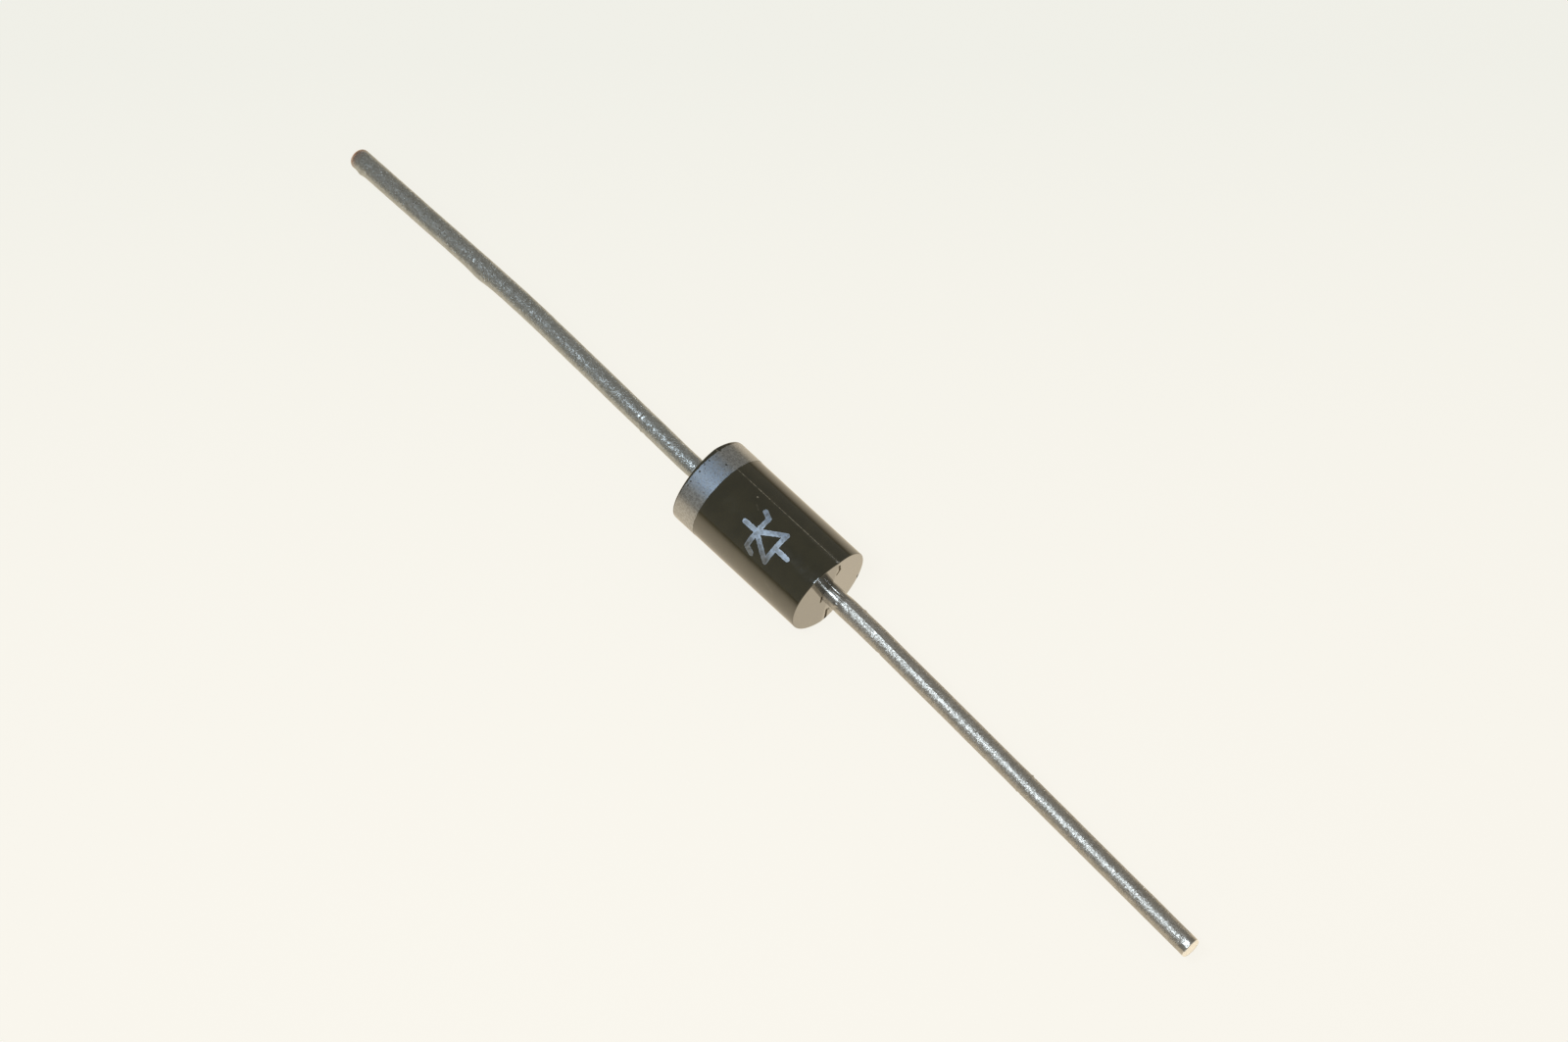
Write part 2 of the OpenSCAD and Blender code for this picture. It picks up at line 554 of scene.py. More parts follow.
@dataclass(frozen=True)
class TinnedWire:
    """Frosted, dulled tin over copper, with bright grains and bare metal at the cut.

    Streaks give their width and length, clouds their size, finer layers and share beside the streaks,
    and pitting the size and the depth of the bumps.
    """

    tin: Colour = (0.475, 0.463, 0.438)
    dull: Colour = (0.39, 0.38, 0.355)
    streak: Pair = (0.05, 0.7)
    streak_depth: float = 0.004
    clouds: tuple[float, float, float] = (0.2, 4.0, 0.6)
    clouding: Pair = (0.38, 0.6)
    cut: Colour = (0.34, 0.17, 0.10)
    cut_cover: float = 0.35
    cut_patches: Patches = Patches(0.1, 2.0, (0.3, 0.6))
    cut_fade: float = 0.03
    flat_cut: bool = False
    metal: float = 0.85
    frost: float = 0.42
    frost_spread: float = 0.08
    frost_patches: Patches = Patches(0.1, 3.0, (0.3, 0.7))
    bright: float = 0.22
    grain: float = 0.06
    relief: float = 0.27
    pitting: Pair = (0.04, 0.0016)

    def material(self, name: str, tip: Point, reach: float, smooth_runs: Sequence[Run]) -> Material:
        """Makes the finish.

        Args:
            name: Name of the lead that it is for.
            tip: Middle of the cut tip on the wire as it was before bending.
            reach: Distance from there over which the cut shows.
            smooth_runs: Stretches along the wire that are smooth and bright.

        Returns:
            The material.
        """
        recipe = Recipe(name)
        recipe.place = recipe.carried("unbent", "Vector")
        lines = recipe.streaks(*self.streak)
        size, detail, share = self.clouds
        clouds = recipe.math("MULTIPLY", recipe.mottle(size, detail), share)
        cloudy = recipe.math("ADD", clouds, recipe.math("MULTIPLY", lines, 1.0 - share))
        tin = recipe.blend(recipe.spread(cloudy, self.clouding, (0.0, 1.0)), self.dull, self.tin)
        if self.flat_cut:
            bare = recipe.along_x(tip[0] - reach, tip[0] + reach, self.cut_fade)
        else:
            bare = recipe.near_line(tip, tip, reach)
        bare = recipe.math("MULTIPLY", bare, recipe.patches(self.cut_patches, (self.cut_cover, 1.0)))
        recipe.set(Base_Color=recipe.blend(bare, tin, self.cut), Metallic=self.metal)
        wet: object = 0.0
        for run in smooth_runs:
            wet = recipe.math("MAXIMUM", wet, recipe.along_x(*run))
        dry = recipe.math("SUBTRACT", 1.0, wet)
        hazes = (self.frost - self.frost_spread, self.frost + self.frost_spread)
        frosted = recipe.math("MULTIPLY", recipe.patches(self.frost_patches, hazes), dry)
        recipe.set(Roughness=recipe.math("ADD", frosted, recipe.math("MULTIPLY", wet, self.bright)))
        crystals = recipe.math("MULTIPLY", recipe.facets(self.grain), dry)
        coarse = recipe.bump(crystals, self.relief * self.grain)
        drawn = recipe.bump(recipe.math("MULTIPLY", lines, dry), self.streak_depth, coarse)
        pit_size, pit_depth = self.pitting
        fine = recipe.math("MULTIPLY", recipe.mottle(pit_size), dry)
        recipe.set(Normal=recipe.bump(fine, pit_depth, drawn))
        return recipe.material


@dataclass(frozen=True)
class PlainGrain:
    """Finish of an inner piece: one colour with a fine grain."""

    name: str
    light: Colour
    shade: Colour
    grain: float
    roughness: float
    metal: float = 0.0
    soft: float = 0.0
    soft_reach: Point = (0.4, 0.4, 0.3)
    unevenness: float = 0.05

    def material(self) -> Material:
        """Makes the finish."""
        recipe = Recipe(self.name)
        patches = recipe.patches(Patches(self.grain, 3.0, (0.35, 0.65)))
        recipe.set(Base_Color=recipe.blend(patches, self.shade, self.light), Metallic=self.metal)
        uneven = (self.roughness - self.unevenness, self.roughness + self.unevenness)
        recipe.set(Roughness=recipe.patches(Patches(self.grain, 2.0, (0.3, 0.7), uneven)))
        softness = tuple(reach * MM for reach in self.soft_reach)
        recipe.set(Subsurface_Weight=self.soft, Subsurface_Radius=softness)
        recipe.set(Normal=recipe.bump(recipe.mottle(self.grain / 3.0), self.grain / 60.0))
        return recipe.material


@dataclass(frozen=True)
class Scuff:
    """A straight mark on a surface, from one point to another."""

    start: Point
    end: Point
    half_width: float
    strength: float


@dataclass(frozen=True)
class Dent:
    """A groove in an end face, or a raised fin if its depth is below 0.

    Its ends are distances from the axis, with the turns at which they lie.
    """

    start: Pair
    end: Pair
    half_width: float
    depth: float

    def depth_at(self, reach: Array, turn: Array) -> Array:
        """Tells how far the mark sinks the face.

        Args:
            reach: Distances from the axis.
            turn: Angles about it, in degrees.

        Returns:
            Depths.
        """
        spots = round_the_axis(0.0, reach, turn)[..., 1:]
        first, last = (round_the_axis(0.0, *end)[1:] for end in (self.start, self.end))
        return self.depth * np.exp(-((off_line(spots, first, last) / self.half_width) ** 2))


@dataclass
class ChipStack:
    """Sizes of the heads, chip and coating inside, and the finishes of the inner pieces."""

    die_thickness: float = 0.26
    solder_thickness: float = 0.06
    wire_radius: float = 0.53
    head_radius: float = 1.45
    head_thickness: float = 0.45
    taper_radius: float = 0.95
    taper_length: float = 0.5
    coat_wrap: float = 0.25
    coat_bulge: float = 0.22

    @property
    def head_face(self) -> float:
        """Distance of a head's face from the middle of the body."""
        return self.die_thickness / 2 + self.solder_thickness

    @property
    def head_back(self) -> float:
        """Distance of a head's back from the middle of the body."""
        return self.head_face + self.head_thickness

    @property
    def taper_end(self) -> float:
        """Distance at which the taper has come down to the wire."""
        return self.head_back + self.taper_length

    def coating_outline(self, steps: int = 12) -> list[Pair]:
        """Follows the coating's bulge from the anode side to the cathode side.

        Args:
            steps: Number of points.

        Returns:
            Places along the body with their reach.
        """
        half = self.head_face + self.coat_wrap
        radius = (half**2 + self.coat_bulge**2) / (2 * self.coat_bulge)
        middle = self.head_radius + self.coat_bulge - radius
        places = np.linspace(half, -half, steps)
        return [(float(x), middle + math.sqrt(radius**2 - x**2)) for x in places]

    def dress(self, nodes: dict[str, Piece]) -> None:
        """Gives the inner pieces their finishes.

        Args:
            nodes: Solids of the frame, by name.
        """
        silicon = PlainGrain("silicon", (0.16, 0.17, 0.19), (0.11, 0.115, 0.13), 0.2, 0.22, metal=0.5)
        solder = PlainGrain("solder", (0.62, 0.62, 0.60), (0.42, 0.42, 0.41), 0.15, 0.38, metal=1.0)
        silicone = PlainGrain("silicone", (0.80, 0.77, 0.70), (0.72, 0.69, 0.62), 0.4, 0.42, soft=0.2)
        made = {finish.name: finish.material() for finish in (silicon, solder, silicone)}
        finishes = {
            "zener_die": silicon,
            "cathode_solder": solder,
            "anode_solder": solder,
            "junction_coating": silicone,
        }
        for name, finish in finishes.items():
            solid = nodes[name]
            solid.data.materials.clear()
            solid.data.materials.append(made[finish.name])
            log.info("%s: solid of the frame, %s", name, finish.name)


class BodySkin(Enum):
    """Finishes of the body, as the numbers of its material slots."""

    BARREL = 0
    END = 1
    GROOVE = 2


@dataclass
class Moulding:
    """The moulded body, with drafted end faces, a flash line and small moulding marks.

    Pale marks give their half width and strength. Scratches give their ends first, as places along the
    body with turns.
    """

    radius: float
    half_length: float
    stack: ChipStack
    draft: float = 3.5
    parting_turn: float = 15.0
    bead_radius: float = 0.035
    bead_height: float = 0.009
    flash_left: float = 0.5
    flash_wear: Unevenness = Unevenness(11, 0.45, 4, 0.3)
    flash_end: float = 0.3
    flash_fade: Pair = (0.1, 1.2)
    # Pale along the flash lines and brighter bits on them: partly worn flash, partly a painted highlight of
    # the bead's glint.
    flash_pale_and_glint: Pair = (0.028, 0.45)
    flash_glint_bits: tuple[Pair, ...] = ((1.30, 1.52), (2.12, 2.36), (-1.3, -1.0), (0.55, 0.62), (1.9, 1.98))
    bit_pale_and_glint: Pair = (0.045, 0.3)
    scratches: tuple[tuple[Pair, Pair, float, float], ...] = (
        ((-1.0, 5.9), (-1.0, 5.9), 0.07, 0.6),
        ((2.07, -65.0), (2.75, -72.5), 0.035, 0.26),
        ((-0.7, -2.0), (-0.45, -5.0), 0.05, 0.13),
    )
    edge_round: float = 0.045
    edge_leans: tuple[float, ...] = (12.0, 25.0, 38.0, 52.0, 65.0, 78.0)
    crest_round: float = 0.05
    face_rows: tuple[int, int] = (90, 14)
    barrel_rows: int = 70
    turn_step: float = 1.25
    flash_reach: float = 2.4
    flash_columns: int = 25
    marked_step: float = 0.4
    end_share: float = 0.9
    end_facing: float = 0.8
    groove_facing: float = 0.5
    groove_share: float = 0.2
    marked_runs: tuple[Pair, ...] = ((17.5, 28.0), (178.0, 190.0))
    dents: tuple[Dent, ...] = (
        Dent((2.12, 18.0), (1.68, 24.5), 0.058, 0.022),
        Dent((1.68, 24.5), (1.42, 20.0), 0.052, 0.02),
        Dent((0.56, -74.0), (0.66, -112.0), 0.05, 0.03),
        Dent((1.66, -172.6), (2.44, -172.8), 0.07, 0.05),
        Dent((1.72, -178.0), (2.34, 177.0), 0.04, -0.045),
        Dent((2.42, 120.0), (2.48, 122.0), 0.085, 0.03),
    )

    def turns(self) -> Array:
        """Spaces points round the body, closer together at the parting line and the marks."""
        even = np.arange(0.0, 360.0, self.turn_step)
        close = np.linspace(-self.flash_reach, self.flash_reach, self.flash_columns)
        sides = (self.parting_turn, self.parting_turn + 180.0)
        marked = [np.arange(*run, self.marked_step) for run in self.marked_runs]
        every = np.concatenate([even, *(side + close for side in sides), *marked])
        return np.unique(np.round(every, 2))

    def bead(self, turn: Array) -> Array:
        """Gives the height of the flash above the barrel.

        Args:
            turn: Angles about the axis, in degrees.

        Returns:
            Heights, 0 away from the parting line.
        """
        aside = self.radius * np.sin(np.radians(turn - self.parting_turn))
        arch = np.sqrt(np.clip(self.bead_radius**2 - aside**2, 0.0, None))
        return np.clip(self.bead_height - self.bead_radius + arch, 0.0, None)

    def skin(self, along: Array, turn: Array) -> Array:
        """Gives the barrel's reach, with flash that is worn unevenly.

        Args:
            along: Places along the body.
            turn: Angles about it, in degrees.

        Returns:
            Distances from the axis.
        """
        left = self.flash_left + self.flash_wear.at(along, turn)
        inward = smooth(*self.flash_fade, self.half_length - np.abs(along))
        return self.radius + self.bead(turn) * left * (self.flash_end + (1.0 - self.flash_end) * inward)

    def face(self, reach: Array, turn: Array) -> Array:
        """Gives the distance of an end face from the middle of the body.

        Args:
            reach: Distances from the axis.
            turn: Angles about it, in degrees.

        Returns:
            Distances along X.
        """
        aside = reach * np.sin(np.radians(turn - self.parting_turn))
        slope = np.sqrt(aside**2 + self.crest_round**2) - self.crest_round
        return self.half_length - slope * math.tan(math.radians(self.draft))

    def end_rows(self, turn: Array, end: int) -> list[Array]:
        """Makes the rings of an end, from the wire out to the barrel.

        Args:
            turn: Angles about the axis, in degrees.
            end: 1 for the anode end, -1 for the cathode end.

        Returns:
            Rings of points.
        """
        rim = self.skin(np.full_like(turn, end * self.half_length), turn) - self.edge_round
        rows = []
        for share in np.linspace(0.0, 1.0, self.face_rows[0 if end > 0 else 1]):
            reach = self.stack.wire_radius + share * (rim - self.stack.wire_radius)
            place = self.face(reach, turn)
            if end > 0:
                place = place - sum(dent.depth_at(reach, turn) for dent in self.dents)
            rows.append(round_the_axis(end * place, reach, turn))
        for lean in np.radians(self.edge_leans):
            place = self.face(rim, turn) - self.edge_round * (1.0 - math.cos(lean))
            rows.append(round_the_axis(end * place, rim + self.edge_round * math.sin(lean), turn))
        return rows

    def barrel(self, turn: Array) -> list[Array]:
        """Makes the rings of the barrel, from the anode end to the cathode end.

        Args:
            turn: Angles about the axis, in degrees.

        Returns:
            Rings of points.
        """
        last = self.face(np.full_like(turn, self.radius), turn) - self.edge_round
        places = [last * share for share in np.linspace(1.0, -1.0, self.barrel_rows)]
        return [round_the_axis(place, self.skin(place, turn), turn) for place in places]

    def cavity(self, turn: Array) -> list[Array]:
        """Makes the rings of the space that the leads and the chip fill.

        Args:
            turn: Angles about the axis, in degrees.

        Returns:
            Rings of points, from the cathode end to the anode end.
        """
        stack = self.stack
        half = [
            (stack.taper_end, stack.wire_radius),
            (stack.head_back, stack.taper_radius),
            (stack.head_back, stack.head_radius),
        ]
        outline = [(-x, r) for x, r in half] + stack.coating_outline()[::-1] + half[::-1]
        return [round_the_axis(x, r, turn) for x, r in outline]

    def build(self) -> Piece:
        """Makes the body's mesh, closed all round."""
        turn = self.turns()
        cathode = self.end_rows(turn, -1)[::-1]
        rows = self.end_rows(turn, 1) + self.barrel(turn) + cathode + self.cavity(turn)
        return make_piece("moulded_body", np.concatenate(rows), ring_faces(len(rows), len(turn), closed=True))

    def on_skin(self, along: float, turn: float) -> Point:
        """Gives the point on the barrel at a place along it and a turn."""
        return tuple(float(v) for v in round_the_axis(along, self.skin(along, turn), turn))

    def scuff(self, start: Pair, end: Pair, half_width: float, strength: float) -> Scuff:
        """Makes a pale mark between two spots on the barrel, given as places along it with turns."""
        return Scuff(self.on_skin(*start), self.on_skin(*end), half_width, strength)

    def scuffs(self) -> list[Scuff]:
        """Lists the pale marks on the barrel: the flash lines, whose pale is partly a painted highlight of
        the bead, a speck and fine scratches.
        """
        half, side = self.half_length, self.parting_turn
        marks = [self.scuff((half, turn), (-half, turn), *self.flash_pale_and_glint) for turn in (side, side + 180.0)]
        marks += [self.scuff((near, side), (far, side), *self.bit_pale_and_glint) for near, far in self.flash_glint_bits]
        return marks + [self.scuff(*scratch) for scratch in self.scratches]

    def chipped(self, spot: Vector) -> bool:
        """Tells whether a point on the anode face lies in one of its grooves.

        Args:
            spot: The point, in millimetres.

        Returns:
            Whether the skin is broken there.
        """
        reach = np.array([math.hypot(spot.y, spot.z)])
        turn = np.degrees(np.arctan2([spot.y], [spot.z]))
        grooves = [dent for dent in self.dents if dent.depth > 0.0]
        return any(dent.depth_at(reach, turn)[0] > self.groove_share * dent.depth for dent in grooves)

    def dress(self, piece: Piece) -> None:
        """Gives the body its finish and hands it over.

        Args:
            piece: The body's mesh.
        """
        finishes = {
            BodySkin.BARREL: Epoxy(),
            BodySkin.END: Epoxy("polished_epoxy", sheen_index=1.86, polish=1.0),
            BodySkin.GROOVE: Epoxy(
                "chipped_epoxy", (0.06, 0.046, 0.028), (0.10, 0.08, 0.05), sheen_index=1.4, haze=(0.5, 0.7)
            ),
        }
        for skin, finish in finishes.items():
            piece.data.materials.append(finish.material(self.scuffs() if skin is BodySkin.BARREL else []))
        end = self.end_share * self.half_length
        for face in piece.data.polygons:
            place = face.center / MM
            facing = abs(face.normal.x)
            if facing > self.groove_facing and place.x > end and self.chipped(place):
                face.material_index = BodySkin.GROOVE.value
            elif facing > self.end_facing and abs(place.x) > end:
                face.material_index = BodySkin.END.value
        hand_over(piece, "epoxy", "body")


@dataclass
class InkLayer:
    """A thin print on the barrel, cut out by a signed distance on the unrolled skin."""

    name: str
    moulding: Moulding
    along: Pair
    turn: Pair
    outline: Callable[[Array, Array], Array]
    ink: PrintedInk = field(default_factory=PrintedInk)
    thickness: float = 0.012
    cell: float = 0.04
    sink: float = 0.002
    keep_cells: float = 0.45
    corner_passes: int = 4
    slope_cells: float = 0.1
    least_steep: float = 0.25
    edge_cells: float = 1.5
    edge_height: float = 0.9
    rim_width: float = 0.07

    @property
    def full_turn(self) -> bool:
        """Whether the print closes round the body."""
        return self.turn[1] - self.turn[0] >= 360.0

    def grid(self) -> tuple[Array, Array]:
        """Spaces points over the print.

        Returns:
            Places along the body, and distances round it from straight up.
        """
        girth = math.radians(self.turn[1] - self.turn[0]) * self.moulding.radius
        rows = int((self.along[1] - self.along[0]) / self.cell) + 1
        columns = int(girth / self.cell)
        places = np.linspace(*self.along, rows)
        turns = np.linspace(*self.turn, columns, endpoint=not self.full_turn)
        return np.meshgrid(places, np.radians(turns) * self.moulding.radius, indexing="ij")

    def kept_cells(self, edge: Array) -> Array:
        """Chooses the cells that are inked, with none that meet only at a corner.

        Args:
            edge: Signed distance at each point, below 0 inside.

        Returns:
            Whether each cell is inked.
        """
        turned = np.roll(edge, -1, axis=1)
        corners = np.stack([edge[:-1], edge[1:], turned[:-1], turned[1:]])
        kept = corners.max(axis=0) < self.keep_cells * self.cell
        if not self.full_turn:
            kept[:, -1] = False
        for _ in range(self.corner_passes):
            right = np.roll(kept, -1, axis=1)
            first = kept[:-1] & right[1:] & ~right[:-1] & ~kept[1:]
            second = kept[1:] & right[:-1] & ~kept[:-1] & ~right[1:]
            kept[:-1] &= ~first
            kept[1:] &= ~second
        return kept

    def build(self) -> Piece:
        """Makes the print's closed shell."""
        along, round_it = self.grid()
        edge = self.outline(along, round_it)
        kept = self.kept_cells(edge)
        rows, columns = along.shape
        number = np.arange(rows * columns).reshape(rows, columns)
        turned = np.roll(number, -1, axis=1)
        quads = np.stack([number[:-1], number[1:], turned[1:], turned[:-1]], axis=-1)[kept]
        sides = np.concatenate([quads[:, [k, (k + 1) % 4]] for k in range(4)])
        known = {(int(a), int(b)) for a, b in sides}
        rim = [(a, b) for a, b in known if (b, a) not in known]
        rim.sort()
        along, round_it = self.pull_in(along, round_it, edge, rim)
        tops, feet = self.shell_points(along, round_it, edge)
        used = np.unique(quads)
        shift = len(used)
        renumber = np.full(rows * columns, -1)
        renumber[used] = np.arange(shift)
        top = [tuple(int(v) for v in renumber[quad]) for quad in quads]
        foot = [tuple(v + shift for v in reversed(quad)) for quad in top]
        walls = []
        for a, b in rim:
            near, far = int(renumber[a]), int(renumber[b])
            walls.append((far, near, near + shift, far + shift))
        points = np.concatenate([tops.reshape(-1, 3)[used], feet.reshape(-1, 3)[used]])
        piece = make_piece(self.name, points, top + foot + walls)
        rims = 1.0 - smooth(0.0, self.rim_width, -edge.reshape(-1)[used])
        piece.data.attributes.new("rim", "FLOAT", "POINT").data.foreach_set("value", np.tile(rims, 2))
        return piece

    def pull_in(
        self, along: Array, round_it: Array, edge: Array, rim: Sequence[tuple[int, int]]
    ) -> tuple[Array, Array]:
        """Moves the points on the print's rim on to its true edge.

        Args:
            along: Places along the body.
            round_it: Distances round it.
            edge: Signed distance at each point.
            rim: Point numbers of the rim's sides.

        Returns:
            The places and distances, moved.
        """
        step = self.slope_cells * self.cell
        slope_along = (self.outline(along + step, round_it) - edge) / step
        slope_round = (self.outline(along, round_it + step) - edge) / step
        steep = np.clip(slope_along**2 + slope_round**2, self.least_steep, None)
        on_rim = np.zeros(along.size, bool)
        on_rim[np.unique(np.array(rim))] = True
        move = np.where(on_rim.reshape(along.shape), np.clip(edge, -self.cell, self.cell), 0.0) / steep
        return along - move * slope_along, round_it - move * slope_round

    def shell_points(
        self, along: Array, round_it: Array, edge: Array
    ) -> tuple[Array, Array]:
        """Lays the print on the barrel.

        Args:
            along: Places along the body.
            round_it: Distances round it.
            edge: Signed distance at each point.

        Returns:
            Points of the ink's top, and of its underside.
        """
        turn = np.degrees(round_it / self.moulding.radius)
        skin = self.moulding.skin(along, turn)
        body = smooth(0.0, self.edge_cells * self.cell, -edge)
        height = self.thickness * (self.edge_height + (1.0 - self.edge_height) * body)
        return round_the_axis(along, skin + height, turn), round_the_axis(along, skin - self.sink, turn)

    def dress(self, piece: Piece, node: str | None) -> None:
        """Gives the print's mesh its ink and hands it over for the solid that it stands for, if any."""
        piece.data.materials.append(self.ink.material(self.name + "_ink"))
        hand_over(piece, "band_ink", node)


@dataclass
class PolarityBand:
    """The printed band at the cathode end, with pinholes given as place along the body, turn and radius."""

    moulding: Moulding
    start: float
    end: float
    inset: float = 0.018
    ragged: tuple[Unevenness, ...] = (Unevenness(21, 0.5, 60, 0.012), Unevenness(22, 0.2, 170, 0.006))
    pinholes: tuple[tuple[float, float, float], ...] = (
        (-4.10, -18.7, 0.05),
        (-4.17, -8.9, 0.045),
        (-4.15, -1.5, 0.05),
        (-3.42, 9.2, 0.06),
        (-4.08, 8.0, 0.04),
        (-4.21, 17.6, 0.05),
        (-4.12, -34.1, 0.045),
        (-4.12, -40.0, 0.045),
        (-4.0, -12.0, 0.03),
        (-3.86, -17.0, 0.03),
        (-3.6, -20.5, 0.03),
        (-3.75, 140.0, 0.05),
        (-4.15, 200.0, 0.05),
        (-3.3, 235.0, 0.04),
    )

    def outline(self, along: Array, round_it: Array) -> Array:
        """Gives the signed distance from the band's edge.

        Args:
            along: Places along the body.
            round_it: Distances round it.

        Returns:
            Distances, below 0 in the ink.
        """
        turn = np.degrees(round_it / self.moulding.radius)
        ragged = sum(bumps.at(along, turn) for bumps in self.ragged)
        middle = (self.start + self.end) / 2
        edge = np.abs(along - middle) - (self.end - self.start) / 2 + self.inset + ragged
        girth = 2 * math.pi * self.moulding.radius
        for place, side, size in self.pinholes:
            apart = round_it - math.radians(side) * self.moulding.radius
            apart = apart - girth * np.round(apart / girth)
            edge = np.maximum(edge, size - np.hypot(along - place, apart))
        return edge

    def layer(self) -> InkLayer:
        """Gives the print that makes the band."""
        return InkLayer("polarity_band", self.moulding, (self.start, self.end), (-180.0, 180.0), self.outline)


@dataclass
class DiodeSign:
    """A plain zener diode sign, printed with its bar towards the band."""

    moulding: Moulding
    place: float = 0.95
    turn: float = -25.0
    stroke: float = 0.27
    tall: float = 0.88
    deep: float = 1.3
    tail: float = 0.85
    wing: float = 0.42
    wing_rise: float = 0.4
    thickness: float = 0.01
    cell: float = 0.03
    ragged: Unevenness = Unevenness(31, 0.12, 150, 0.014)

    def strokes(self) -> list[tuple[Pair, Pair]]:
        """Lists the sign's lines, from its middle, as (along, round) pairs."""
        bar = -self.deep / 2
        base = self.deep / 2
        rise = self.wing_rise * self.wing
        return [
            ((bar, 0.0), (base, self.tall)),
            ((bar, 0.0), (base, -self.tall)),
            ((base, -self.tall), (base, self.tall)),
            ((bar, -self.tall), (bar, self.tall)),
            ((bar, self.tall), (bar - self.wing, self.tall + rise)),
            ((bar, -self.tall), (bar + self.wing, -self.tall - rise)),
            ((base, 0.0), (base + self.tail, 0.0)),
            ((bar, 0.0), (bar - self.tail, 0.0)),
        ]

    def outline(self, along: Array, round_it: Array) -> Array:
        """Gives the signed distance from the sign's edge.

        Args:
            along: Places along the body.
            round_it: Distances round it.

        Returns:
            Distances, below 0 in the ink.
        """
        side = math.radians(self.turn) * self.moulding.radius
        spots = np.stack([along - self.place, round_it - side], axis=-1)
        nearest = np.min([off_line(spots, *stroke) for stroke in self.strokes()], axis=0)
        turn = np.degrees(round_it / self.moulding.radius)
        return nearest - self.stroke / 2 + self.ragged.at(along, turn)

    def layer(self) -> InkLayer:
        """Gives the print that makes the sign."""
        reach = self.deep / 2 + self.tail + self.stroke
        wide = math.degrees((self.tall + self.wing + self.stroke) / self.moulding.radius)
        span = (self.place - reach, self.place + reach)
        turns = (self.turn - wide, self.turn + wide)
        ink = PrintedInk(edge_share=0.7, thin=0.55, sheen_index=2.0, sheen_haze=0.4)
        sizes = {"thickness": self.thickness, "cell": self.cell}
        return InkLayer("diode_sign", self.moulding, span, turns, self.outline, ink, **sizes)


class LeadTip(Enum):
    """How the end of a lead was left."""

    SHEARED = "sheared"
    ROUNDED = "rounded"


@dataclass(frozen=True)
class Bend:
    """A slight bend that starts at a distance along the wire, towards a side given as a turn."""

    start: float
    radius: float
    angle: float
    side: float

    @property
    def end(self) -> float:
        """Distance along the wire at which the bend ends."""
        return self.start + self.radius * math.radians(self.angle)


@dataclass(frozen=True)
class WireMark:
    """A local bump or nick on a wire: where it is, how far it spreads and how high it stands.

    A long mark ends more abruptly and may drift round the wire, in degrees a millimetre.
    """

    along: float
    turn: float
    length: float
    spread: float
    height: float
    abrupt: float = 2.0
    drift: float = 0.0

    def height_at(self, along: Array, turn: Array) -> Array:
        """Tells how far the mark lifts the skin.

        Args:
            along: Distances along the wire.
            turn: Angles about it, in degrees.

        Returns:
            Heights.
        """
        off = along - self.along
        apart = np.mod(turn - self.turn - self.drift * off + 180.0, 360.0) - 180.0
        return self.height * np.exp(-(np.abs(off / self.length) ** self.abrupt) - (apart / self.spread) ** 2)


